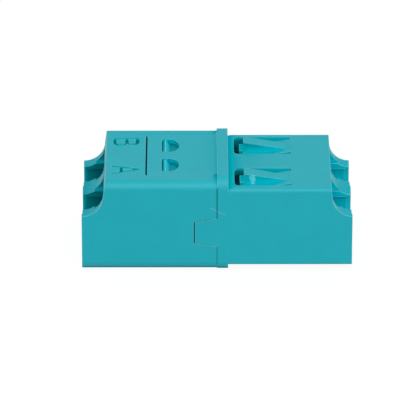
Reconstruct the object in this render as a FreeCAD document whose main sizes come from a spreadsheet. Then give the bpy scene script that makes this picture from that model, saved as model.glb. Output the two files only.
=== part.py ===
import FreeCAD, Part
import math
import operator
import os
import Sketcher

# Duplex adapter for two LC fibre plugs a side.
#
# Frame: +X runs along the fibres, +Y across the two ports, +Z up.  The origin lies
# under the plane where the two housings meet, midway between the sides, at the height
# of the flange's lower edge, on which the adapter stands.
# The labelled housing fills X < 0, and the flanged housing, with the tongue, the side
# tabs and the two panel latch fingers, fills X > 0.  All lengths are millimetres.

SIZES = {
    # both housings
    "half_length": 12.87,
    "body_width": 12.6,
    "port_pitch": 6.25,
    "ferrule_axis_height": 3.26,
    "labelled_underside": 0.05,
    "labelled_height": 9.25,
    "labelled_top_round": 0.85,
    "labelled_bottom_round": 1.0,
    "flanged_underside": 0.66,
    "flanged_top_drop": 0.62,
    "flanged_top_round": 0.42,
    "flanged_bottom_round": 0.25,
    # panel flange
    "flange_thickness": 1.06,
    "flange_rise": 0.35,
    "flange_top_round": 1.18,
    "flange_bottom_round": 0.96,
    "foot_groove_width": 0.44,
    "foot_groove_depth": 0.2,
    # ports: a square channel for the plug, two rails, and a channel for its latch arm
    "plug_body": 4.5,
    "plug_clearance": 0.03,
    "rail_gap": 3.4,
    "rail_height": 0.62,
    "rail_length": 4.2,
    "top_wall": 0.72,
    "lead_in": 0.3,
    "lead_in_floor": 0.12,
    "lead_in_length": 0.45,
    # finger scallops at the mouths
    "scallop_floor": 5.8,
    "labelled_scallop_radius": 2.06,
    "labelled_scallop_lean": 0.2,
    "flanged_scallop_radius": 1.93,
    "flanged_scallop_lean": 0.08,
    # tongue on the top and tabs at the sides, which key the housings together
    "tongue_length": 6.65,
    "tongue_width": 9.0,
    "tongue_thickness": 0.5,
    "tongue_corner_round": 0.15,
    "tongue_end_gap": 0.17,
    "key_clearance": 0.03,
    "tongue_ramp_length": 0.56,
    "window_setback": 1.38,
    "window_length": 1.69,
    "window_width": 2.88,
    "window_spacing": 4.36,
    "window_corner_round": 0.25,
    "window_shoulder_round": 0.8,
    "catch_gap": 0.1,
    "catch_side_gap": 0.06,
    "catch_top_length": 0.26,
    "catch_ramp_length": 0.43,
    "catch_drop": 0.06,
    "tab_length": 2.1,
    "tab_root_height": 2.95,
    "tab_tip_height": 2.15,
    "tab_axis_height": 4.08,
    "tab_thickness": 0.38,
    "tab_end_gap": 0.12,
    # panel latch fingers
    "finger_spacing": 7.1,
    "finger_width": 2.8,
    "finger_side_gap": 0.55,
    "finger_thickness": 0.75,
    "finger_dip": 0.36,
    "finger_dip_setback": 2.2,
    "slot_setback": 0.6,
    "slot_length": 5.48,
    "slot_corner_round": 0.5,
    "slot_tip_round": 0.21,
    "panel_gap": 1.51,
    "hook_rise": 0.6,
    "hook_width": 1.5,
    "hook_root_width": 1.05,
    "hook_run": 4.12,
    "hook_tip_flat": 0.12,
    "ledge_reach": 0.41,
    "ledge_drop": 0.2,
    # sleeve holders
    "holder_plate": 1.2,
    "holder_ledge": 0.12,
    "holder_corner_round": 0.5,
    "holder_clearance": 0.03,
    "barrel_diameter": 2.8,
    "barrel_wall_at_lip": 0.35,
    "barrel_nose_chamfer": 0.25,
    "lip_bore": 1.4,
    "lip_flare": 0.2,
    # split alignment sleeves
    "sleeve_length": 6.8,
    "sleeve_bore": 1.246,
    "sleeve_wall": 0.19,
    "sleeve_slit": 0.22,
    "sleeve_end_chamfer": 0.06,
    "sleeve_clearance": 0.05,
}


class Size:
    """A length, together with the spreadsheet expression that gives it."""

    def __init__(self, value, text):
        self.value = value
        self.text = text

    def __add__(self, other):
        return combined(self, "+", other)

    def __radd__(self, other):
        return combined(other, "+", self)

    def __sub__(self, other):
        return combined(self, "-", other)

    def __rsub__(self, other):
        return combined(other, "-", self)

    def __mul__(self, other):
        return combined(self, "*", other)

    def __rmul__(self, other):
        return combined(other, "*", self)

    def __truediv__(self, other):
        return combined(self, "/", other)

    def __neg__(self):
        return combined(-1, "*", self)


OPERATIONS = {
    "+": operator.add,
    "-": operator.sub,
    "*": operator.mul,
    "/": operator.truediv,
}


def as_size(number):
    """A Size for a plain number or for what is a Size already."""
    if isinstance(number, Size):
        return number
    return Size(float(number), repr(number))


def combined(left, sign, right):
    """The Size that joins two lengths by one operation."""
    left = as_size(left)
    right = as_size(right)
    value = OPERATIONS[sign](left.value, right.value)
    return Size(value, "(%s %s %s)" % (left.text, sign, right.text))


def make_sheet(document):
    """The spreadsheet of driving sizes, one alias for each."""
    sheet = document.addObject("Spreadsheet::Sheet", "Sizes")
    for row, (alias, value) in enumerate(SIZES.items(), start=1):
        sheet.set("A%d" % row, alias)
        sheet.set("B%d" % row, str(value))
        sheet.setAlias("B%d" % row, alias)
    document.recompute()
    return sheet


DOCUMENT = FreeCAD.newDocument("lc_fibre_adapter")
SHEET = make_sheet(DOCUMENT)


def size(alias):
    """The driving size with this alias."""
    return Size(float(getattr(SHEET, alias)), "Sizes." + alias)


HALF_LENGTH = size("half_length")
HALF_WIDTH = size("body_width") / 2
HALF_PITCH = size("port_pitch") / 2
AXIS_HEIGHT = size("ferrule_axis_height")

GROUND = as_size(0)
LABELLED_UNDERSIDE = size("labelled_underside")
LABELLED_TOP = LABELLED_UNDERSIDE + size("labelled_height")
FLANGED_UNDERSIDE = size("flanged_underside")
FLANGED_TOP = LABELLED_TOP - size("flanged_top_drop")
FLANGE_TOP = LABELLED_TOP + size("flange_rise")
FLANGE_FACE = size("flange_thickness")

PORT_WIDTH = size("plug_body") + 2 * size("plug_clearance")
PORT_FLOOR = AXIS_HEIGHT - PORT_WIDTH / 2
RAIL_LOW = AXIS_HEIGHT + PORT_WIDTH / 2
RAIL_HIGH = RAIL_LOW + size("rail_height")
LATCH_CEILING = FLANGED_TOP - size("top_wall")

WINDOW_START = size("window_setback") - size("tongue_length")
SLOPE_ALONG = 4 / 5
SLOPE_ACROSS = 3 / 5
TONGUE_POCKET_FLOOR = LABELLED_TOP - size("tongue_thickness") - size("key_clearance")

SLOT_START = FLANGE_FACE + size("slot_setback")
SLOT_END = SLOT_START + size("slot_length")
SHOULDER = FLANGE_FACE + size("panel_gap")

SLEEVE_RADIUS = size("sleeve_bore") / 2 + size("sleeve_wall")
SLEEVE_SEAT = size("sleeve_length") / 2 + size("sleeve_clearance")
BARREL_REACH = SLEEVE_SEAT + size("barrel_wall_at_lip")
HOLDER_HALF_WIDTH = HALF_PITCH + PORT_WIDTH / 2 + size("holder_ledge")


# ---- sketches and features ------------------------------------------------------------


def new_body(name):
    """A body whose name and label are the sub-part's."""
    body = DOCUMENT.addObject("PartDesign::Body", name)
    body.Label = name
    DOCUMENT.recompute()
    return body


def new_sketch(body, name, role, offset=0):
    """A sketch on one of the body's own planes, offset along that plane's normal."""
    plane = [item for item in body.Origin.OriginFeatures if item.Role == role][0]
    sketch = body.newObject("Sketcher::SketchObject", name)
    sketch.AttachmentSupport = [(plane, "")]
    sketch.MapMode = "FlatFace"
    sketch.setExpression("AttachmentOffset.Base.z", as_size(offset).text)
    return sketch


def fix_point(sketch, piece, end, x, y):
    """Holds one point of a sketch at x, y."""
    for kind, axis, place in (("DistanceX", -2, x), ("DistanceY", -1, y)):
        place = as_size(place)
        if place.value == 0:
            sketch.addConstraint(Sketcher.Constraint("PointOnObject", piece, end, axis))
            continue
        index = sketch.addConstraint(Sketcher.Constraint(kind, -1, 1, piece, end, place.value))
        sketch.setExpression("Constraints[%d]" % index, place.text)


def add_line(sketch, start, finish):
    """A straight side; gives its index and its first and last point."""
    first = FreeCAD.Vector(as_size(start[0]).value, as_size(start[1]).value, 0)
    last = FreeCAD.Vector(as_size(finish[0]).value, as_size(finish[1]).value, 0)
    return sketch.addGeometry(Part.LineSegment(first, last), False), 1, 2


def add_arc(sketch, start, finish, centre):
    """A side that is an arc of under half a turn; gives its index and its two ends."""
    first = [as_size(value).value for value in start[:2]]
    last = [as_size(value).value for value in finish[:2]]
    middle = [as_size(value).value for value in centre]
    radius = math.hypot(first[0] - middle[0], first[1] - middle[1])
    from_angle = math.atan2(first[1] - middle[1], first[0] - middle[0])
    to_angle = math.atan2(last[1] - middle[1], last[0] - middle[0])
    turn = (to_angle - from_angle + math.pi) % (2 * math.pi) - math.pi
    ends = (1, 2)
    if turn < 0:
        from_angle, to_angle = to_angle, from_angle
        ends = (2, 1)
    circle = Part.Circle(FreeCAD.Vector(middle[0], middle[1], 0), FreeCAD.Vector(0, 0, 1), radius)
    arc = Part.ArcOfCircle(circle, from_angle, from_angle + abs(turn))
    return sketch.addGeometry(arc, False), ends[0], ends[1]


def outline(sketch, corners):
    """A closed outline through the corners.  A corner of four values ends an arc,
    and its last two values are that arc's centre."""
    sides = []
    for place, finish in enumerate(corners[1:] + corners[:1]):
        start = corners[place]
        if len(finish) == 4:
            sides.append(add_arc(sketch, start, finish, finish[2:]))
        else:
            sides.append(add_line(sketch, start, finish))
    for place, (piece, first, last) in enumerate(sides):
        following, next_first, _ = sides[(place + 1) % len(sides)]
        sketch.addConstraint(Sketcher.Constraint("Coincident", piece, last, following, next_first))
    for place, (piece, first, last) in enumerate(sides):
        fix_point(sketch, piece, first, corners[place][0], corners[place][1])
        finish = corners[(place + 1) % len(corners)]
        if len(finish) == 4:
            fix_centre(sketch, piece, finish[2])


def fix_centre(sketch, piece, x):
    """Holds an arc's centre at x; its two ends then give its height."""
    x = as_size(x)
    if x.value == 0:
        sketch.addConstraint(Sketcher.Constraint("PointOnObject", piece, 3, -2))
        return
    index = sketch.addConstraint(Sketcher.Constraint("DistanceX", -1, 1, piece, 3, x.value))
    sketch.setExpression("Constraints[%d]" % index, x.text)


def rectangle(sketch, left, right, low, high):
    """A rectangle with sharp corners."""
    outline(sketch, [(left, low), (right, low), (right, high), (left, high)])


def rounded_rectangle(sketch, left, right, low, high, low_round, high_round):
    """A rectangle whose two low and two high corners are rounded."""
    outline(sketch, [
        (left, low + low_round),
        (left + low_round, low, left + low_round, low + low_round),
        (right - low_round, low),
        (right, low + low_round, right - low_round, low + low_round),
        (right, high - high_round),
        (right - high_round, high, right - high_round, high - high_round),
        (left + high_round, high),
        (left, high - high_round, left + high_round, high - high_round),
    ])


def circle(sketch, x, y, diameter):
    """A full circle."""
    centre = FreeCAD.Vector(as_size(x).value, as_size(y).value, 0)
    radius = diameter.value / 2
    piece = sketch.addGeometry(Part.Circle(centre, FreeCAD.Vector(0, 0, 1), radius), False)
    fix_point(sketch, piece, 3, x, y)
    index = sketch.addConstraint(Sketcher.Constraint("Diameter", piece, diameter.value))
    sketch.setExpression("Constraints[%d]" % index, diameter.text)


def extrude(kind, body, sketch, length, backwards=False, both_ways=False):
    """A Pad or a Pocket of the sketch."""
    feature = body.newObject("PartDesign::" + kind, sketch.Name + "_" + kind.lower())
    feature.Profile = sketch
    feature.SideType = "Symmetric" if both_ways else "One side"
    feature.Reversed = backwards
    feature.setExpression("Length", as_size(length).text)
    sketch.Visibility = False
    return feature


def pad(body, sketch, length, backwards=False, both_ways=False):
    """Adds the sketch's outline, along its normal unless backwards."""
    return extrude("Pad", body, sketch, length, backwards, both_ways)


def pocket(body, sketch, length, backwards=False, both_ways=False):
    """Cuts the sketch's outline, against its normal unless backwards."""
    return extrude("Pocket", body, sketch, length, backwards, both_ways)


def loft(kind, body, name, first, last):
    """An AdditiveLoft or a SubtractiveLoft from one sketch to another."""
    feature = body.newObject("PartDesign::" + kind, name)
    feature.Profile = first
    feature.Sections = [last]
    feature.Ruled = True
    first.Visibility = False
    last.Visibility = False
    return feature


# ---- what both housings have ----------------------------------------------------------


def housing_block(body, end, low, high, low_round, high_round):
    """The plain moulded block, from the meeting plane to the mouth at end (-1 or 1)."""
    sketch = new_sketch(body, body.Name + "_section", "YZ_Plane")
    rounded_rectangle(sketch, -HALF_WIDTH, HALF_WIDTH, low, high, low_round, high_round)
    pad(body, sketch, HALF_LENGTH, backwards=end < 0)


def mouth_scallop(body, end, radius, lean, top):
    """The scallop that clears the top wall off the mouth, so a plug's latch can be reached.
    Above its round, its wall leans back from the mouth."""
    floor = size("scallop_floor")
    mouth = end * HALF_LENGTH
    inner = mouth - end * radius
    outside = mouth + end * radius
    above = top + radius
    sketch = new_sketch(body, body.Name + "_scallop", "XZ_Plane")
    outline(sketch, [
        (outside, floor),
        (mouth, floor),
        (inner, floor + radius, mouth, floor + radius),
        (inner - end * lean, top),
        (inner - end * lean, above),
        (outside, above),
    ])
    pocket(body, sketch, 2 * size("body_width"), both_ways=True)


def port_profile(sketch, centre):
    """The mouth of one port: plug channel, narrower gap between the rails, latch channel."""
    wide = PORT_WIDTH / 2
    narrow = size("rail_gap") / 2
    outline(sketch, [
        (centre - wide, PORT_FLOOR),
        (centre + wide, PORT_FLOOR),
        (centre + wide, RAIL_LOW),
        (centre + narrow, RAIL_LOW),
        (centre + narrow, RAIL_HIGH),
        (centre + wide, RAIL_HIGH),
        (centre + wide, LATCH_CEILING),
        (centre - wide, LATCH_CEILING),
        (centre - wide, RAIL_HIGH),
        (centre - narrow, RAIL_HIGH),
        (centre - narrow, RAIL_LOW),
        (centre - wide, RAIL_LOW),
    ])


def port_lead_in(body, end, side):
    """The flared mouth that guides a plug into its channel."""
    centre = side * HALF_PITCH
    name = "%s_lead_in_%s" % (body.Name, port_letter(side))
    mouth = new_sketch(body, name + "_mouth", "YZ_Plane", end * HALF_LENGTH)
    wide = PORT_WIDTH / 2 + size("lead_in")
    low = PORT_FLOOR - size("lead_in_floor")
    rectangle(mouth, centre - wide, centre + wide, low, RAIL_LOW + size("lead_in"))
    throat_place = end * (HALF_LENGTH - size("lead_in_length"))
    throat = new_sketch(body, name + "_throat", "YZ_Plane", throat_place)
    rectangle(throat, centre - PORT_WIDTH / 2, centre + PORT_WIDTH / 2, PORT_FLOOR, RAIL_LOW)
    loft("SubtractiveLoft", body, name, mouth, throat)


def port_letter(side):
    """Port A is on the -Y side and port B on the +Y side."""
    return "a" if side < 0 else "b"


def port(body, end, side):
    """One port: the railed stretch, the open stretch behind it and the lead-in."""
    centre = side * HALF_PITCH
    name = "%s_port_%s" % (body.Name, port_letter(side))
    railed = new_sketch(body, name + "_railed", "YZ_Plane", end * HALF_LENGTH)
    port_profile(railed, centre)
    pocket(body, railed, size("rail_length"), backwards=end < 0)
    start = HALF_LENGTH - size("rail_length")
    inner = new_sketch(body, name + "_inner", "YZ_Plane", end * start)
    rectangle(inner, centre - PORT_WIDTH / 2, centre + PORT_WIDTH / 2, PORT_FLOOR, LATCH_CEILING)
    pocket(body, inner, start - size("holder_plate"), backwards=end < 0)
    port_lead_in(body, end, side)


def holder_seat(body, end):
    """The recess in the meeting face that takes the sleeve holder's plate."""
    sketch = new_sketch(body, body.Name + "_holder_seat", "YZ_Plane")
    corner = size("holder_corner_round")
    rounded_rectangle(sketch, -HOLDER_HALF_WIDTH, HOLDER_HALF_WIDTH, PORT_FLOOR,
                      LATCH_CEILING, corner, corner)
    pocket(body, sketch, size("holder_plate"), backwards=end > 0)


def ports(body, end):
    """Both ports of a housing, and the recess behind them."""
    for side in (-1, 1):
        port(body, end, side)
    holder_seat(body, end)


# ---- tongue and side tabs -------------------------------------------------------------


def tab_outline(sketch, root, reach, gap):
    """The side tab's tapered outline, grown by a gap all round."""
    middle = size("tab_axis_height")
    root_half = size("tab_root_height") / 2 + gap
    tip_half = size("tab_tip_height") / 2 + gap
    outline(sketch, [
        (root, middle - root_half),
        (root, middle + root_half),
        (0, middle + root_half),
        (-reach, middle + tip_half),
        (-reach, middle - tip_half),
        (0, middle - root_half),
    ])


def tongue_outline(sketch, root, reach, half_width, corner):
    """The tongue's outline seen from above, with rounded corners at its tip."""
    outline(sketch, [
        (root, -half_width),
        (root, half_width),
        (corner - reach, half_width),
        (-reach, half_width - corner, corner - reach, half_width - corner),
        (-reach, corner - half_width),
        (corner - reach, -half_width, corner - reach, corner - half_width),
    ])


def key_pockets(body):
    """The pockets of the labelled housing that take the tongue and the side tabs."""
    clearance = size("key_clearance")
    sketch = new_sketch(body, "tongue_pocket", "XY_Plane", LABELLED_TOP)
    reach = size("tongue_length") + size("tongue_end_gap")
    corner = size("tongue_corner_round") + clearance
    tongue_outline(sketch, clearance, reach, size("tongue_width") / 2 + clearance, corner)
    pocket(body, sketch, size("tongue_thickness") + clearance)
    for side in (-1, 1):
        name = "tab_pocket_" + port_letter(side)
        sketch = new_sketch(body, name, "XZ_Plane", -side * HALF_WIDTH)
        tab_outline(sketch, clearance, size("tab_length") + size("tab_end_gap"), clearance)
        pocket(body, sketch, size("tab_thickness") + clearance, backwards=side > 0)


def snap_catch(body, side):
    """The catch in one window of the tongue: a slope towards the flange, with an upright
    face that stops the tongue from being drawn out again."""
    centre = side * size("window_spacing") / 2
    half = size("window_width") / 2 - size("catch_side_gap")
    face = WINDOW_START + size("catch_gap")
    brow = face + size("catch_top_length")
    top = LABELLED_TOP - size("catch_drop")
    buried = TONGUE_POCKET_FLOOR - (TONGUE_POCKET_FLOOR - LATCH_CEILING) / 2
    sketch = new_sketch(body, "snap_catch_" + port_letter(side), "XZ_Plane", half - centre)
    outline(sketch, [
        (face, buried),
        (face, top),
        (brow, top),
        (brow + size("catch_ramp_length"), TONGUE_POCKET_FLOOR),
        (brow + size("catch_ramp_length"), buried),
    ])
    pad(body, sketch, 2 * half, backwards=True)


def tongue(body):
    """The top tongue, the ramp up to the flange at its root, and its two windows."""
    root = FLANGE_FACE / 2
    half_width = size("tongue_width") / 2
    sketch = new_sketch(body, "tongue_plan", "XY_Plane", LABELLED_TOP)
    tongue_outline(sketch, root, size("tongue_length"), half_width, size("tongue_corner_round"))
    pad(body, sketch, size("tongue_thickness"), backwards=True)
    tongue_ramp(body, root)
    for side in (-1, 1):
        tongue_window(body, side)


def tongue_ramp(body, root):
    """The hollow ramp between the tongue's top and the flange's top."""
    run = size("tongue_ramp_length")
    rise = size("flange_rise")
    radius = (run * run + rise * rise) / (2 * rise)
    low = LABELLED_TOP - size("tongue_thickness") / 2
    sketch = new_sketch(body, "tongue_ramp", "XZ_Plane")
    outline(sketch, [
        (-run, low),
        (-run, LABELLED_TOP),
        (0, FLANGE_TOP, -run, LABELLED_TOP + radius),
        (root, FLANGE_TOP),
        (root, low),
    ])
    pad(body, sketch, size("tongue_width"), both_ways=True)


def tongue_window(body, side):
    """One window for a snap catch, square towards the tongue's tip.  At its back, a wide
    arc joins two shoulder arcs, each where it is turned in by a three, four, five slope."""
    centre = side * size("window_spacing") / 2
    half = size("window_width") / 2
    shoulder = size("window_shoulder_round")
    wide = shoulder + (half - shoulder) / SLOPE_ACROSS
    middle = WINDOW_START + size("window_length") - wide
    turn = middle + (wide - shoulder) * SLOPE_ALONG
    join = middle + wide * SLOPE_ALONG
    spread = wide * SLOPE_ACROSS
    square = WINDOW_START + size("window_corner_round")
    edge = half - size("window_corner_round")
    sketch = new_sketch(body, "tongue_window_" + port_letter(side), "XY_Plane", LABELLED_TOP)
    outline(sketch, [
        (square, centre - half, square, centre - edge),
        (turn, centre - half),
        (join, centre - spread, turn, centre - half + shoulder),
        (join, centre + spread, middle, centre),
        (turn, centre + half, turn, centre + half - shoulder),
        (square, centre + half),
        (WINDOW_START, centre + edge, square, centre + edge),
        (WINDOW_START, centre - edge),
    ])
    pocket(body, sketch, 2 * size("tongue_thickness"))


def side_tabs(body):
    """The two tapered tabs that reach over the labelled housing's sides."""
    for side in (-1, 1):
        sketch = new_sketch(body, "tab_" + port_letter(side), "XZ_Plane", -side * HALF_WIDTH)
        tab_outline(sketch, FLANGE_FACE / 2, size("tab_length"), 0)
        pad(body, sketch, size("tab_thickness"), backwards=side < 0)


# ---- flange and panel latch fingers ---------------------------------------------------


def flange(body):
    """The panel flange, and the shallow groove along the foot of its panel face."""
    sketch = new_sketch(body, "flange", "YZ_Plane")
    rounded_rectangle(sketch, -HALF_WIDTH, HALF_WIDTH, GROUND, FLANGE_TOP,
                      size("flange_bottom_round"), size("flange_top_round"))
    pad(body, sketch, FLANGE_FACE)
    sketch = new_sketch(body, "foot_groove", "XZ_Plane")
    groove_end = FLANGE_FACE + size("foot_groove_width")
    outline(sketch, [
        (FLANGE_FACE, FLANGED_TOP - size("foot_groove_depth")),
        (groove_end, FLANGED_TOP),
        (groove_end, FLANGE_TOP),
        (FLANGE_FACE, FLANGE_TOP),
    ])
    pocket(body, sketch, 2 * size("body_width"), both_ways=True)


def finger_slot(body, side):
    """The U-shaped window round one latch finger."""
    centre = side * size("finger_spacing") / 2
    half = size("finger_width") / 2 + size("finger_side_gap")
    name = "finger_slot_" + port_letter(side)
    sketch = new_sketch(body, name, "XY_Plane", FLANGED_TOP)
    wide = size("slot_corner_round")
    tip = size("slot_tip_round")
    outline(sketch, [
        (SLOT_START, centre - half + wide),
        (SLOT_START + wide, centre - half, SLOT_START + wide, centre - half + wide),
        (SLOT_END - tip, centre - half),
        (SLOT_END, centre - half + tip, SLOT_END - tip, centre - half + tip),
        (SLOT_END, centre + half - tip),
        (SLOT_END - tip, centre + half, SLOT_END - tip, centre + half - tip),
        (SLOT_START + wide, centre + half),
        (SLOT_START, centre + half - wide, SLOT_START + wide, centre + half - wide),
    ])
    pocket(body, sketch, 2 * size("top_wall"))


def finger_beam(body, side):
    """The springy beam, flush at its root and dipping towards the flange."""
    centre = side * size("finger_spacing") / 2
    dip = FLANGED_TOP - size("finger_dip")
    low_point = SLOT_END - size("finger_dip_setback")
    root = SLOT_END + size("top_wall")
    sketch = new_sketch(body, "finger_beam_" + port_letter(side), "XZ_Plane",
                        size("finger_width") / 2 - centre)
    outline(sketch, [
        (SHOULDER, dip - size("finger_thickness")),
        (low_point, dip - size("finger_thickness")),
        (SLOT_END, LATCH_CEILING),
        (root, LATCH_CEILING),
        (root, FLANGED_TOP),
        (SLOT_END, FLANGED_TOP),
        (low_point, dip),
        (SHOULDER, dip),
    ])
    pad(body, sketch, size("finger_width"), backwards=True)


def finger_hook(body, side):
    """The wedge that snaps behind the panel, wider at its shoulder than at its foot."""
    centre = side * size("finger_spacing") / 2
    letter = port_letter(side)
    low = FLANGED_TOP - size("finger_dip") - size("finger_thickness") / 2
    high = FLANGED_TOP + size("hook_rise")
    wide = size("hook_width") / 2
    flat_end = SHOULDER + size("hook_tip_flat")
    tip = new_sketch(body, "hook_tip_" + letter, "YZ_Plane", SHOULDER)
    rectangle(tip, centre - wide, centre + wide, low, high)
    pad(body, tip, size("hook_tip_flat"))
    brow = new_sketch(body, "hook_brow_" + letter, "YZ_Plane", flat_end)
    rectangle(brow, centre - wide, centre + wide, low, high)
    foot = new_sketch(body, "hook_foot_" + letter, "YZ_Plane", SHOULDER + size("hook_run"))
    narrow = size("hook_root_width") / 2
    slope = size("finger_dip") / size("finger_dip_setback")
    beam_top = FLANGED_TOP - (SLOT_END - SHOULDER - size("hook_run")) * slope
    rectangle(foot, centre - narrow, centre + narrow, low, beam_top)
    loft("AdditiveLoft", body, "hook_ramp_" + letter, brow, foot)


def finger_ledge(body, side):
    """The stop in front of the hook, which rests on the panel's edge."""
    centre = side * size("finger_spacing") / 2
    wide = size("hook_width") / 2
    sketch = new_sketch(body, "finger_ledge_" + port_letter(side), "YZ_Plane", SHOULDER)
    low = FLANGED_TOP - size("finger_dip") - size("finger_thickness")
    rectangle(sketch, centre - wide, centre + wide, low, FLANGED_TOP - size("ledge_drop"))
    pad(body, sketch, size("ledge_reach"), backwards=True)


def latch_finger(body, side):
    """One panel latch finger, moulded with the housing's top wall."""
    finger_slot(body, side)
    finger_beam(body, side)
    finger_hook(body, side)
    finger_ledge(body, side)


# ---- sub-parts ------------------------------------------------------------------------


def labelled_housing():
    """The housing at -X, whose ports carry the letters A and B."""
    body = new_body("labelled_housing")
    housing_block(body, -1, LABELLED_UNDERSIDE, LABELLED_TOP, size("labelled_bottom_round"),
                  size("labelled_top_round"))
    mouth_scallop(body, -1, size("labelled_scallop_radius"), size("labelled_scallop_lean"),
                  LABELLED_TOP)
    ports(body, -1)
    key_pockets(body)
    for side in (-1, 1):
        snap_catch(body, side)
    return body


def flanged_housing():
    """The housing at +X, with flange, tongue, side tabs and panel latch fingers."""
    body = new_body("flanged_housing")
    housing_block(body, 1, FLANGED_UNDERSIDE, FLANGED_TOP, size("flanged_bottom_round"),
                  size("flanged_top_round"))
    flange(body)
    tongue(body)
    side_tabs(body)
    mouth_scallop(body, 1, size("flanged_scallop_radius"), size("flanged_scallop_lean"),
                  FLANGED_TOP)
    ports(body, 1)
    for side in (-1, 1):
        latch_finger(body, side)
    return body


def sleeve_holder(name, end):
    """A plate with two barrels, each of which holds half of a split sleeve."""
    body = new_body(name)
    clearance = size("holder_clearance")
    corner = size("holder_corner_round")
    half = HOLDER_HALF_WIDTH - clearance
    plate = new_sketch(body, name + "_plate", "YZ_Plane")
    rounded_rectangle(plate, -half, half, PORT_FLOOR + clearance, LATCH_CEILING - clearance,
                      corner, corner)
    pad(body, plate, size("holder_plate"), backwards=end < 0)
    barrels = new_sketch(body, name + "_barrels", "YZ_Plane")
    straight = BARREL_REACH - size("barrel_nose_chamfer")
    for side in (-1, 1):
        circle(barrels, side * HALF_PITCH, AXIS_HEIGHT, size("barrel_diameter"))
    pad(body, barrels, straight, backwards=end < 0)
    for side in (-1, 1):
        barrel_nose(body, end, side, straight)
    seats = new_sketch(body, name + "_seats", "YZ_Plane")
    for side in (-1, 1):
        diameter = 2 * (SLEEVE_RADIUS + size("sleeve_clearance"))
        circle(seats, side * HALF_PITCH, AXIS_HEIGHT, diameter)
    pocket(body, seats, SLEEVE_SEAT, backwards=end > 0)
    for side in (-1, 1):
        lip_flare(body, end, side)
    return body


def barrel_nose(body, end, side, start):
    """The cone at the end of a barrel, which finds the hole in a plug's nose."""
    name = "%s_nose_%s" % (body.Name, port_letter(side))
    diameter = size("barrel_diameter")
    base = new_sketch(body, name + "_base", "YZ_Plane", end * start)
    circle(base, side * HALF_PITCH, AXIS_HEIGHT, diameter)
    tip = new_sketch(body, name + "_tip", "YZ_Plane", end * BARREL_REACH)
    circle(tip, side * HALF_PITCH, AXIS_HEIGHT, diameter - 2 * size("barrel_nose_chamfer"))
    loft("AdditiveLoft", body, name, base, tip)


def lip_flare(body, end, side):
    """The flared hole through a barrel's lip, which guides the ferrule and keeps the sleeve."""
    name = "%s_flare_%s" % (body.Name, port_letter(side))
    mouth = new_sketch(body, name + "_mouth", "YZ_Plane", end * BARREL_REACH)
    circle(mouth, side * HALF_PITCH, AXIS_HEIGHT, size("lip_bore") + 2 * size("lip_flare"))
    throat = new_sketch(body, name + "_throat", "YZ_Plane", end * SLEEVE_SEAT)
    circle(throat, side * HALF_PITCH, AXIS_HEIGHT, size("lip_bore"))
    loft("SubtractiveLoft", body, name, mouth, throat)


def split_sleeve(side):
    """The zirconia sleeve that lines up two ferrules, slit along its top."""
    name = "port_%s_sleeve" % port_letter(side)
    body = new_body(name)
    half = size("sleeve_length") / 2
    inside = size("sleeve_bore") / 2
    chamfer = size("sleeve_end_chamfer")
    section = new_sketch(body, name + "_section", "XZ_Plane")
    outline(section, [
        (-half, inside + chamfer),
        (chamfer - half, inside),
        (half - chamfer, inside),
        (half, inside + chamfer),
        (half, SLEEVE_RADIUS - chamfer),
        (half - chamfer, SLEEVE_RADIUS),
        (chamfer - half, SLEEVE_RADIUS),
        (-half, SLEEVE_RADIUS - chamfer),
    ])
    tube = body.newObject("PartDesign::Revolution", name + "_tube")
    tube.Profile = section
    tube.ReferenceAxis = (section, ["H_Axis"])
    tube.Angle = 360
    slit = new_sketch(body, name + "_slit", "XY_Plane")
    slit_half = size("sleeve_slit") / 2
    rectangle(slit, -2 * half, 2 * half, -slit_half, slit_half)
    pocket(body, slit, 2 * SLEEVE_RADIUS, backwards=True)
    body.setExpression("Placement.Base.y", (side * HALF_PITCH).text)
    body.setExpression("Placement.Base.z", AXIS_HEIGHT.text)
    return body


# ---- checks and files -----------------------------------------------------------------


CUTS = ("PartDesign::Pocket", "PartDesign::SubtractiveLoft")
ADDITIONS = ("PartDesign::Pad", "PartDesign::AdditiveLoft")


def check_features():
    """Every object is built, every cut takes material away and every addition adds it."""
    for item in DOCUMENT.Objects:
        if "Invalid" in item.State or "Error" in item.State:
            raise RuntimeError("%s is %s" % (item.Name, item.State))
        base = getattr(item, "BaseFeature", None)
        if item.TypeId in CUTS + ADDITIONS and base is not None:
            change = item.Shape.Volume - base.Shape.Volume
            if (change < 0) != (item.TypeId in CUTS) or abs(change) < 1e-9:
                raise RuntimeError("%s changes the volume by %g" % (item.Name, change))


def check_bodies(bodies):
    """Every sub-part is one valid solid."""
    for body in bodies:
        shape = body.Shape
        if shape.isNull() or not shape.isValid() or len(shape.Solids) != 1:
            raise RuntimeError("%s isn't one valid solid" % body.Label)


def write_parts(bodies):
    """One STEP file for each sub-part."""
    os.makedirs("parts", exist_ok=True)
    for body in bodies:
        body.Shape.exportStep(os.path.join("parts", body.Label + ".step"))
        box = body.Shape.BoundBox
        print("%-24s volume %8.2f mm3, box %6.2f..%6.2f %6.2f..%6.2f %6.2f..%6.2f" % (
            body.Label, body.Shape.Volume, box.XMin, box.XMax,
            box.YMin, box.YMax, box.ZMin, box.ZMax))


def main():
    """Builds, checks and writes the whole adapter."""
    bodies = [
        labelled_housing(),
        flanged_housing(),
        sleeve_holder("labelled_sleeve_holder", -1),
        sleeve_holder("flanged_sleeve_holder", 1),
        split_sleeve(-1),
        split_sleeve(1),
    ]
    DOCUMENT.recompute()
    check_features()
    check_bodies(bodies)
    write_parts(bodies)


main()
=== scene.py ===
import math

import bmesh
import bpy
from mathutils import Matrix, Vector


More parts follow.
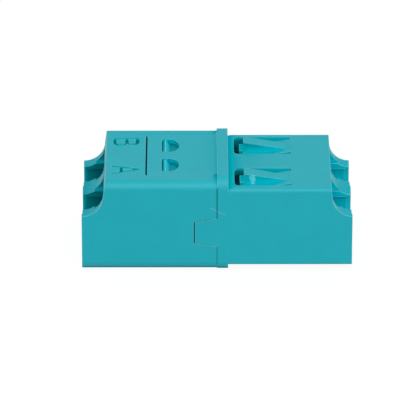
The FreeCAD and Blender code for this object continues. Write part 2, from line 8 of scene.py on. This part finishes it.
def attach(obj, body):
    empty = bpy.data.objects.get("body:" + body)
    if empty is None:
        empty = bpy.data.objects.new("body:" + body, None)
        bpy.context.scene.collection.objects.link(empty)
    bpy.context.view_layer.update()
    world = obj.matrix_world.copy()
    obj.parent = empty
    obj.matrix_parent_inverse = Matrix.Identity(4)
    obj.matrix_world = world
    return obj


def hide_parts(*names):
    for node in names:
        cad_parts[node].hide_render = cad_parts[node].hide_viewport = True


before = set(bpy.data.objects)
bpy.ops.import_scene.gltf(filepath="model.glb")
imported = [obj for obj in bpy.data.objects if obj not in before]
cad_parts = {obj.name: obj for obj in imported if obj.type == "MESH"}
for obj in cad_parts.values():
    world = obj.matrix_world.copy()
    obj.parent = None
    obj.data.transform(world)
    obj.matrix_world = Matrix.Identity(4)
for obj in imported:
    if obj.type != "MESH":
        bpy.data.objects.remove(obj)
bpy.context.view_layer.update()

MM = 0.001
WHITE = (1.0, 1.0, 1.0, 1.0)


# ---- camera ----------------------------------------------------------------------------

ELEVATION = 25.586      # in degrees, as are yaw and roll
YAW = 0.211
ROLL = 0.044
AIM = (-0.840, 0.0, 3.681)      # in millimetres, as is the distance
DISTANCE = 465.458
LENS = 418.3
SENSOR_WIDTH = 36.0


def add_camera():
    """The photograph's view: a long lens, from the front and 26 degrees above."""
    elevation = math.radians(ELEVATION)
    yaw = math.radians(YAW)
    roll = math.radians(ROLL)
    aim = Vector(AIM) * MM
    forward = Vector((math.sin(yaw) * math.cos(elevation),
                      math.cos(yaw) * math.cos(elevation),
                      -math.sin(elevation)))
    level = Vector((math.cos(yaw), -math.sin(yaw), 0.0))
    above = level.cross(forward)
    right = level * math.cos(roll) + above * math.sin(roll)
    up = above * math.cos(roll) - level * math.sin(roll)
    data = bpy.data.cameras.new("camera")
    data.sensor_fit = "HORIZONTAL"
    data.sensor_width = SENSOR_WIDTH
    data.lens = LENS
    data.clip_start = 0.01
    data.clip_end = 10.0
    camera = bpy.data.objects.new("camera", data)
    place = aim - forward * DISTANCE * MM
    turn = Matrix((right, up, -forward)).transposed()
    camera.matrix_world = Matrix.Translation(place) @ turn.to_4x4()
    bpy.context.collection.objects.link(camera)
    bpy.context.scene.camera = camera


# ---- node trees ------------------------------------------------------------------------

MIX_FIRST, MIX_SECOND, MIX_RESULT = 6, 7, 2     # the mix node's colour sockets
BOX_SOFTNESS = 0.02     # in millimetres


class Tree:
    """Builds a node tree: each call adds nodes, sets their sockets and gives an output."""

    def __init__(self, tree):
        self.tree = tree

    def fill(self, node, sockets):
        """Sets a node's sockets, each to a value or to another node's output."""
        for name, value in sockets.items():
            if isinstance(value, bpy.types.NodeSocket):
                self.tree.links.new(value, node.inputs[name])
            else:
                node.inputs[name].default_value = value

    def add(self, kind, output, sockets, **settings):
        """A new shader node with its sockets and settings."""
        node = self.tree.nodes.new("ShaderNode" + kind)
        for name, value in settings.items():
            setattr(node, name, value)
        self.fill(node, sockets)
        return node.outputs[output]

    def math(self, operation, first, second):
        return self.add("Math", 0, {0: first, 1: second}, operation=operation)

    def vector(self, operation, first, second, output="Vector"):
        return self.add("VectorMath", output, {0: first, 1: second}, operation=operation)

    def scale(self, vector, share):
        return self.add("VectorMath", "Vector", {0: vector, "Scale": share}, operation="SCALE")

    def spread(self, value, low, high, to_low=0.0, to_high=1.0):
        """Maps value from the range low to high on to the range to_low to to_high."""
        return self.add("MapRange", "Result", {
            "Value": value, "From Min": low, "From Max": high,
            "To Min": to_low, "To Max": to_high})

    def noise(self, place, scale, detail):
        return self.add("TexNoise", "Fac", {"Vector": place, "Scale": scale, "Detail": detail})

    def openness(self, reach, samples, **settings):
        """1 on open faces, and less where surfaces within reach stand in the way."""
        return self.add("AmbientOcclusion", "AO", {"Distance": reach}, samples=samples, **settings)

    def bevel(self, radius, samples):
        """The surface's direction with its edges rounded."""
        return self.add("Bevel", "Normal", {"Radius": radius}, samples=samples)

    def blend(self, share, first, second):
        """Mixes two colours."""
        return self.add("Mix", MIX_RESULT, {0: share, MIX_FIRST: first, MIX_SECOND: second},
                        data_type="RGBA")

    def near_line(self, place, start, finish, near, far):
        """1 within near of a straight line, falling to 0 at far from it, in millimetres."""
        start, finish = Vector(start) * MM, Vector(finish) * MM
        along = finish - start
        offset = self.vector("SUBTRACT", place, start)
        share = self.vector("DOT_PRODUCT", offset, along / along.length_squared, "Value")
        share = self.add("Clamp", 0, {"Value": share})
        distance = self.vector("DISTANCE", offset, self.scale(along, share), "Value")
        return self.spread(distance, far * MM, near * MM)

    def inside(self, place, low, high):
        """1 inside a box given in millimetres, falling to 0 at its faces."""
        low, high = Vector(low) * MM, Vector(high) * MM
        offset = self.vector("SUBTRACT", place, (low + high) / 2)
        offset = self.add("VectorMath", "Vector", {0: offset}, operation="ABSOLUTE")
        margin = self.add("SeparateXYZ", "X", {
            "Vector": self.vector("SUBTRACT", (high - low) / 2, offset)}).node.outputs
        least = self.math("MINIMUM", self.math("MINIMUM", margin["X"], margin["Y"]), margin["Z"])
        return self.spread(least, 0.0, BOX_SOFTNESS * MM)


# ---- materials -------------------------------------------------------------------------

# Reaches and radii are in metres, and noise scales in waves per metre.  Of a pair that
# sets an effect, the first number is where it starts and the second where it is full,
# but for cracks.  Of a pair of roughnesses, the first is the least and the second the most.
EDGE_REACH = 0.0003             # for telling outside edges from inside corners
CRACK_REACH = 0.0006            # for narrow cracks
CORNER_REACH = 0.002            # for corners and the mouths of hollows
HOLLOW_REACH = 0.008            # for the inside of hollows
SHADE_SAMPLES = 8
EDGE_SAMPLES = 6
EDGE_TURN = (0.995, 0.86)       # cosines between the rounded and the flat direction
EDGE_OPEN = (0.7, 0.97)         # openness of inside corners and of outside edges

# Painted shade darkens the colour in hollows and cracks; the right-hand ports get painted light.
MIDDLE_END, PORTS_START = 0.004, 0.008      # from the parting plane, along the part
MIDDLE_SHARE = 0.3              # share of colour left by the painted shade in hollows near the parting plane, in the labelled housing's ports and in the flanged housing's, where it is painted light
LEFT_PORT_SHARE = 0.42          # in the labelled housing's ports
RIGHT_PORT_SHARE = 1.4          # and in the flanged housing's, which look light
DEPTH_RANGE = (0.1, 0.45)       # of the difference between the two wide reaches
CRACK_RANGE = (0.04, 0.3)       # openness where the painted shade in a crack is darkest, and where it ends
CRACK_SHARE = 0.3

DEEP_TURQUOISE = (0.0, 0.490, 0.592, 1.0)
CLEAR_TURQUOISE = (0.0, 0.512, 0.612, 1.0)
SPECK_COLOUR = (0.0, 0.44, 0.536, 1.0)
# painted bounce light: corners turn a brighter, deeper turquoise
CORNER_BOUNCE_COLOUR = (0.0, 0.66, 0.75, 1.0)
# painted highlight colour for outside edges
RIM_HIGHLIGHT_COLOUR = (0.22, 0.88, 0.96, 1.0)
CLOUD_SCALE, CLOUD_RANGE = 420.0, (0.3, 0.7)
SPECK_SCALE, SPECK_RANGE, SPECK_SHARE = 5200.0, (0.35, 0.65), 0.16
GRAIN_SCALE, GRAIN_DEPTH, GRAIN_STRENGTH = 14000.0, 0.000012, 0.25
GRAIN_SHARE = 0.7               # of the bumps' height; the specks give the rest
CORNER_BOUNCE_RANGE = (0.75, 0.45)
RIM_HIGHLIGHT_SCALE, RIM_HIGHLIGHT_RANGE, RIM_HIGHLIGHT_LEAST = 1500.0, (0.3, 0.65), 0.7
RIM_HIGHLIGHT_IN_SHADE = (0.5, 1.0)         # painted rim highlights fade under deep painted shade
RAGGED_SCALE, RAGGED_RANGE, RAGGED_LEAST = 3800.0, (0.25, 0.6), 0.6
WAVER_SCALE = 3000.0
EDGE_RADIUS, RIM_RADIUS = 0.00007, 0.0001
SHINE_RANGE, SHINE_MOST = (0.78, 0.99), 0.45
ROUGH_RANGE, ROUGHNESS = (0.3, 0.7), (0.40, 0.48)
PLASTIC_IOR = 1.5

GRIND_SCALE, GRIND_STRETCH = 30000.0, (1.0, 0.02, 0.02)
GRIND_DEPTH, GRIND_STRENGTH = 0.000004, 0.15
CREAM, PALE_CREAM = (0.80, 0.79, 0.74, 1.0), (0.86, 0.85, 0.81, 1.0)
# painted highlight on the ceramic's outside edges
CERAMIC_RIM_HIGHLIGHT, CERAMIC_RIM_HIGHLIGHT_SHARE = (0.93, 0.92, 0.89, 1.0), 0.6
CERAMIC_CLOUD_SCALE, CERAMIC_RADIUS, CERAMIC_SAMPLES = 900.0, 0.00003, 4
CERAMIC_ROUGHNESS = (0.18, 0.28)


def new_material(name):
    """A material, its tree builder and its main shader."""
    material = bpy.data.materials.new(name)
    material.use_nodes = True
    return material, Tree(material.node_tree), material.node_tree.nodes["Principled BSDF"]


def edge_share(tree, rounded):
    """1 on outside edges, 0 on faces and in inside corners."""
    flat = tree.add("NewGeometry", "Normal", {})
    edge = tree.spread(tree.vector("DOT_PRODUCT", rounded, flat, "Value"), *EDGE_TURN)
    openness = tree.openness(EDGE_REACH, EDGE_SAMPLES)
    return tree.math("MULTIPLY", edge, tree.spread(openness, *EDGE_OPEN))


def painted_hollow_shade_and_light(tree, place, close, near, wide):
    """Painted shade as a share of the colour: less in the windows, the finger holes and the
    left-hand ports than on open faces, least in cracks, and painted light in the right-hand ports."""
    along = tree.add("SeparateXYZ", "X", {"Vector": place})
    left = tree.spread(along, -MIDDLE_END, -PORTS_START, MIDDLE_SHARE, LEFT_PORT_SHARE)
    right = tree.spread(along, MIDDLE_END, PORTS_START, MIDDLE_SHARE, RIGHT_PORT_SHARE)
    change = tree.math("SUBTRACT", tree.math("MAXIMUM", left, right), 1.0)
    depth = tree.spread(tree.math("SUBTRACT", near, wide), *DEPTH_RANGE)
    painted_light_factor = tree.math("ADD", tree.math("MULTIPLY", change, depth), 1.0)
    return tree.math("MULTIPLY", painted_light_factor, tree.spread(close, *CRACK_RANGE, CRACK_SHARE, 1.0))


def paint_light_and_shade_by_place(tree, place, painted_light_factor, cracks, boxes):
    """Scales the painted light by each crack's and each box's own share; below 1 it paints shade.
    """
    parts = [(tree.near_line(place, *crack), share) for *crack, share in cracks]
    parts += [(tree.inside(place, *box), share) for *box, share in boxes]
    for part, share in parts:
        painted_light_factor = tree.math("MULTIPLY", painted_light_factor, tree.spread(part, 0.0, 1.0, 1.0, share))
    return painted_light_factor


def paint_marks(tree, place, colour, marks):
    """Lays ragged strokes of other colours over a colour."""
    ragged = tree.noise(place, RAGGED_SCALE, detail=3.0)
    waver = tree.add("TexNoise", "Color", {"Vector": place, "Scale": WAVER_SCALE})
    for start, finish, near, far, stray, strength, paint in marks:
        moved = tree.vector("ADD", place, tree.vector("MULTIPLY", waver, (stray * MM,) * 3))
        line = tree.near_line(moved, start, finish, near, far)
        broken = tree.spread(ragged, *RAGGED_RANGE, RAGGED_LEAST, strength)
        colour = tree.blend(tree.math("MULTIPLY", line, broken), colour, paint)
    return colour


def moulding_material(name, marks, cracks, boxes):
    """Turquoise satin plastic: clouded colour, spark-eroded grain, painted edge highlights,
    painted shade in hollows, painted bounce light in corners, marks given as (start, finish, near,
    far, stray, strength, colour), cracks as (start, finish, near, far, share) and boxes as (low,
    high, share), where a share below 1 is painted shade on colour and shine, and above 1 painted
    light."""
    material, tree, shader = new_material(name)
    place = tree.add("NewGeometry", "Position", {})
    speck = tree.noise(place, SPECK_SCALE, detail=2.0)
    close = tree.openness(CRACK_REACH, SHADE_SAMPLES)
    near = tree.openness(CORNER_REACH, SHADE_SAMPLES, only_local=True)
    wide = tree.openness(HOLLOW_REACH, SHADE_SAMPLES, only_local=True)
    # painted shade in hollows, cracks and boxes, and painted light where a share is above 1
    painted_light_factor = paint_light_and_shade_by_place(tree, place, painted_hollow_shade_and_light(tree, place, close, near, wide), cracks, boxes)
    painted_shade_factor = tree.math("MINIMUM", painted_light_factor, 1.0)

    cloud = tree.noise(place, CLOUD_SCALE, detail=3.0)
    colour = tree.blend(tree.spread(cloud, *CLOUD_RANGE), DEEP_TURQUOISE, CLEAR_TURQUOISE)
    colour = tree.blend(tree.spread(speck, *SPECK_RANGE, 0.0, SPECK_SHARE),
                        colour, SPECK_COLOUR)
    # painted bounce light in corners and the mouths of hollows
    colour = tree.blend(tree.spread(near, *CORNER_BOUNCE_RANGE), colour, CORNER_BOUNCE_COLOUR)
    # painted highlights on outside edges, broken up by noise and faded under painted shade
    patchy = tree.noise(place, RIM_HIGHLIGHT_SCALE, detail=3.0)
    rim_highlight = tree.math("MULTIPLY", edge_share(tree, tree.bevel(RIM_RADIUS, EDGE_SAMPLES)),
                     tree.spread(patchy, *RIM_HIGHLIGHT_RANGE, RIM_HIGHLIGHT_LEAST, 1.0))
    rim_highlight = tree.math("MULTIPLY", rim_highlight, tree.spread(painted_shade_factor, *RIM_HIGHLIGHT_IN_SHADE))
    colour = tree.blend(rim_highlight, colour, RIM_HIGHLIGHT_COLOUR)
    # the painted light and shade scale the colour
    colour = tree.scale(paint_marks(tree, place, colour, marks), painted_light_factor)

    grain = tree.math("MULTIPLY", tree.noise(place, GRAIN_SCALE, detail=3.0), GRAIN_SHARE)
    height = tree.math("ADD", grain, tree.math("MULTIPLY", speck, 1.0 - GRAIN_SHARE))
    bumped = tree.add("Bump", "Normal", {
        "Height": height, "Strength": GRAIN_STRENGTH, "Distance": GRAIN_DEPTH,
        "Normal": tree.bevel(EDGE_RADIUS, EDGE_SAMPLES)})
    # the shine fades in cracks and hollows and under painted shade
    shine = tree.spread(tree.math("MINIMUM", close, wide), *SHINE_RANGE, 0.0, SHINE_MOST)
    tree.fill(shader, {
        "Base Color": colour, "Normal": bumped, "IOR": PLASTIC_IOR,
        "Roughness": tree.spread(speck, *ROUGH_RANGE, *ROUGHNESS),
        "Specular IOR Level": tree.math("MULTIPLY", shine, painted_shade_factor)})
    return material


def ceramic_material():
    """Ground zirconia, off-white, with fine grinding rings round the fibre's axis."""
    material, tree, shader = new_material("zirconia")
    place = tree.add("NewGeometry", "Position", {})
    rings = tree.noise(tree.vector("MULTIPLY", place, GRIND_STRETCH), GRIND_SCALE, detail=2.0)
    rounded = tree.bevel(CERAMIC_RADIUS, CERAMIC_SAMPLES)
    cloud = tree.noise(place, CERAMIC_CLOUD_SCALE, detail=3.0)
    colour = tree.blend(cloud, CREAM, PALE_CREAM)
    # painted highlight along the outside edges
    rim = tree.math("MULTIPLY", edge_share(tree, rounded), CERAMIC_RIM_HIGHLIGHT_SHARE)
    colour = tree.blend(rim, colour, CERAMIC_RIM_HIGHLIGHT)
    bumped = tree.add("Bump", "Normal", {
        "Height": rings, "Strength": GRIND_STRENGTH, "Distance": GRIND_DEPTH,
        "Normal": rounded})
    tree.fill(shader, {
        "Base Color": colour, "Normal": bumped,
        "Roughness": tree.spread(rings, *ROUGH_RANGE, *CERAMIC_ROUGHNESS)})
    return material


def dress(piece, material):
    """Gives every face of a piece one material."""
    piece.data.materials.clear()
    piece.data.materials.append(material)


# ---- port letters ----------------------------------------------------------------------

# In millimetres, and the angles in degrees.
TOP = 9.30              # height of the labelled housing's top
LETTER_DEPTH = 0.22
BLOCK_HALF = 0.2        # half the height of the blocks that cut the letters
WELD_REACH = 0.001
FLAT_ANGLE = 0.2        # faces that turn less than this count as one
SHARP_ANGLE = 27.0      # edges that turn more than this look sharp


def arc(x, y, radius, first, last, steps=16):
    """Points along an arc, from the first to the last angle in degrees."""
    angles = [math.radians(first + (last - first) * step / steps) for step in range(steps + 1)]
    return [(x + radius * math.cos(angle), y + radius * math.sin(angle)) for angle in angles]


# Each letter is read from the end with the ports, so its height runs along +X and its
# left side lies towards +Y.  Its first outline is the outer one, the others its islands.
LETTER_A = [
    [(-10.05, -2.22), (-7.28, -2.97), (-7.28, -3.25), (-10.05, -4.22), (-10.03, -3.88),
     (-9.27, -3.65), (-9.27, -2.80), (-10.04, -2.58)],
    [(-8.95, -2.88), (-8.95, -3.56), (-8.06, -3.20), (-8.06, -3.10)],
]
LETTER_B = [
    [(-9.95, 3.94), (-7.43, 3.94)] + arc(-8.03, 2.90, 0.60, 0.0, -165.0)
    + arc(-9.27, 2.85, 0.68, -23.0, -180.0),
    [(-9.64, 3.70), (-8.80, 3.70)] + arc(-9.22, 2.86, 0.42, 0.0, -180.0),
    [(-8.48, 3.70), (-7.81, 3.70)] + arc(-8.145, 2.90, 0.335, 0.0, -180.0),
]


def letter_block(outlines):
    """A solid in a letter's shape that reaches from the recess floor to above the top."""
    data = bpy.data.curves.new("letter", "CURVE")
    data.dimensions = "2D"
    data.fill_mode = "BOTH"
    data.extrude = BLOCK_HALF * MM
    for points in outlines:
        spline = data.splines.new("POLY")
        spline.points.add(len(points) - 1)
        for point, (x, y) in zip(spline.points, points):
            point.co = (x * MM, y * MM, 0.0, 1.0)
        spline.use_cyclic_u = True
    shape = bpy.data.objects.new("letter", data)
    mesh = bpy.data.meshes.new_from_object(shape)
    bpy.data.objects.remove(shape)
    middle = TOP - LETTER_DEPTH + BLOCK_HALF
    mesh.transform(Matrix.Translation((0.0, 0.0, middle * MM)))
    weld(mesh)
    block = bpy.data.objects.new("letter_block", mesh)
    bpy.context.collection.objects.link(block)
    return block


def weld(mesh):
    """Joins vertices that lie on one another."""
    shell = bmesh.new()
    shell.from_mesh(mesh)
    bmesh.ops.remove_doubles(shell, verts=shell.verts, dist=WELD_REACH * MM)
    shell.to_mesh(mesh)
    shell.free()


def lettered_housing():
    """The labelled housing with its port letters sunk in the top."""
    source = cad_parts["labelled_housing"]
    mesh = source.data.copy()
    mesh.transform(source.matrix_world)
    weld(mesh)
    piece = bpy.data.objects.new("lettered_housing", mesh)
    bpy.context.collection.objects.link(piece)
    for outlines in (LETTER_A, LETTER_B):
        block = letter_block(outlines)
        cut = piece.modifiers.new("letter", "BOOLEAN")
        cut.operation = "DIFFERENCE"
        cut.solver = "EXACT"
        cut.object = block
        bpy.context.view_layer.update()
        depsgraph = bpy.context.evaluated_depsgraph_get()
        piece.data = bpy.data.meshes.new_from_object(piece.evaluated_get(depsgraph))
        piece.modifiers.clear()
        bpy.data.objects.remove(block)
    finish_mesh(piece.data)
    smooth = piece.modifiers.new("normals", "WEIGHTED_NORMAL")
    smooth.keep_sharp = True
    smooth.weight = 80
    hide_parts("labelled_housing")
    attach(piece, "root")
    return piece


def finish_mesh(mesh):
    """Joins the flat faces' triangles, and shades the rounds smooth."""
    weld(mesh)
    shell = bmesh.new()
    shell.from_mesh(mesh)
    bmesh.ops.dissolve_limit(shell, angle_limit=math.radians(FLAT_ANGLE), verts=shell.verts,
                             edges=shell.edges)
    shell.to_mesh(mesh)
    shell.free()
    for face in mesh.polygons:
        face.use_smooth = True
    mesh.set_sharp_from_angle(angle=math.radians(SHARP_ANGLE))


# ---- stage and light -------------------------------------------------------------------

FLOOR_SIZE, FLOOR_DROP = 6.0, 0.00002       # in metres
FLOOR_GREY = 0.54
GLOW_STRENGTH, GLOW_SHARE = 1.14, 0.82
AIR_STRENGTH = 0.53
LAMP_AIM = (0.0, 0.0, 0.004)
LAMPS = [
    # name, place and size in metres, power in watts
    ("key", (0.0, -0.6, 0.55), 0.6, 1.9),
    ("top_card", (0.0, -0.35, 0.75), 0.6, 0.7),
    ("right_fill", (0.8, -0.1, 0.22), 0.4, 0.7),
]


def add_floor():
    """A pale floor that runs out of view, white to the camera and in reflections but for
    the soft shadow."""
    bpy.ops.mesh.primitive_plane_add(size=FLOOR_SIZE, location=(0.0, 0.0, -FLOOR_DROP))
    floor = bpy.context.object
    floor.name = "floor"
    material, tree, shader = new_material("floor")
    rays = tree.add("LightPath", "Is Camera Ray", {}).node.outputs
    seen = tree.math("MAXIMUM", rays["Is Camera Ray"], rays["Is Glossy Ray"])
    seen = tree.math("MAXIMUM", seen, rays["Is Transmission Ray"])
    paper = tree.add("BsdfDiffuse", 0, {"Color": (FLOOR_GREY, FLOOR_GREY, FLOOR_GREY, 1.0)})
    glow = tree.add("Emission", 0, {"Color": WHITE, "Strength": GLOW_STRENGTH})
    share = tree.math("MULTIPLY", seen, GLOW_SHARE)
    material.node_tree.nodes.remove(shader)
    tree.fill(material.node_tree.nodes["Material Output"], {
        "Surface": tree.add("MixShader", 0, {0: share, 1: paper, 2: glow})})
    floor.data.materials.append(material)


def add_world():
    """Even white studio air."""
    world = bpy.data.worlds.new("studio")
    bpy.context.scene.world = world
    world.use_nodes = True
    background = world.node_tree.nodes["Background"]
    background.inputs["Color"].default_value = WHITE
    background.inputs["Strength"].default_value = AIR_STRENGTH


def add_lamp(name, place, size, power):
    """A square softbox aimed at the object."""
    data = bpy.data.lights.new(name, "AREA")
    data.shape = "SQUARE"
    data.size = size
    data.energy = power
    lamp = bpy.data.objects.new(name, data)
    lamp.location = place
    aim = Vector(LAMP_AIM) - lamp.location
    lamp.rotation_euler = aim.to_track_quat("-Z", "Y").to_euler()
    bpy.context.collection.objects.link(lamp)


# ---- where the marks and the painted light and shade lie, in millimetres ---------------

PALE = (0.22, 0.66, 0.72, 1.0)
# the glint on the torn skin's raised fold, painted into the colour
FOLD_GLINT = (0.17, 0.82, 0.93, 1.0)
MARKS = [
    # hairline scratch across the parting line, and the torn skin on the near latch finger: a real
    # fold, with its glint painted in pale colour
    ((-0.613, -6.3, 6.661), (0.753, -6.3, 5.940), 0.012, 0.035, 0.0, 0.8, PALE),
    ((3.22, -4.25, 9.05), (3.56, -4.25, 8.24), 0.11, 0.17, 0.12, 1.0, FOLD_GLINT),
    ((3.44, -4.25, 9.30), (3.58, -4.25, 8.70), 0.14, 0.20, 0.12, 1.0, FOLD_GLINT),
]
SHADED_CRACKS = [
    # painted shade in the parting line above and below the side tab, and in the slit at the
    # tongue's tip
    ((0.0, -6.3, 8.95), (0.0, -6.3, 5.60), 0.03, 0.08, 0.38),
    ((0.0, -6.3, 2.55), (0.0, -6.3, 0.15), 0.02, 0.07, 0.50),
    ((-6.735, -4.6, 8.8), (-6.735, 4.6, 8.8), 0.30, 0.48, 0.45),
]
WINDOW_MIDDLE, WINDOW_HALF = 2.18, 1.5      # across the part, as are the next three
HOLE_MIDDLE, HOLE_HALF, HOOK_HALF = 3.55, 2.1, 0.8
LIGHT_AND_SHADE_BOXES = [((-10.4, -4.5, 8.95), (-7.0, 4.3, 9.11), 0.5)]    # painted shade on the floors of the letters
for side in (-1.0, 1.0):
    window, hole = side * WINDOW_MIDDLE, side * HOLE_MIDDLE
    front, back = window - WINDOW_HALF, window + WINDOW_HALF
    near, hook, far = hole - HOLE_HALF, hole + HOOK_HALF, hole + HOLE_HALF
    LIGHT_AND_SHADE_BOXES += [
        ((-5.30, front, 8.20), (-5.20, back, 9.28), 2.5),       # painted light in the crack at the catch
        ((-5.00, front, 8.98), (-4.70, back, 9.30), 1.35),      # painted light on the top of the catch's ramp
        ((-4.66, front, 8.20), (-3.55, back, 8.86), 0.72),      # painted shade on the window's floor
        ((1.55, hook, 6.00), (2.56, far, 8.42), 0.5),           # painted shade in the finger hole beyond the hook
        ((1.55, near, 6.00), (2.13, hook, 8.42), 0.8),          # painted shade in the rest of the finger hole
    ]


# ---- the scene -------------------------------------------------------------------------

bpy.context.scene.view_settings.view_transform = "Standard"
add_camera()
add_floor()
add_world()
for lamp in LAMPS:
    add_lamp(*lamp)

PLASTIC = moulding_material("turquoise_moulding", MARKS, SHADED_CRACKS, LIGHT_AND_SHADE_BOXES)
CERAMIC = ceramic_material()
for node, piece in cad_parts.items():
    dress(piece, CERAMIC if node.endswith("_sleeve") else PLASTIC)
dress(lettered_housing(), PLASTIC)
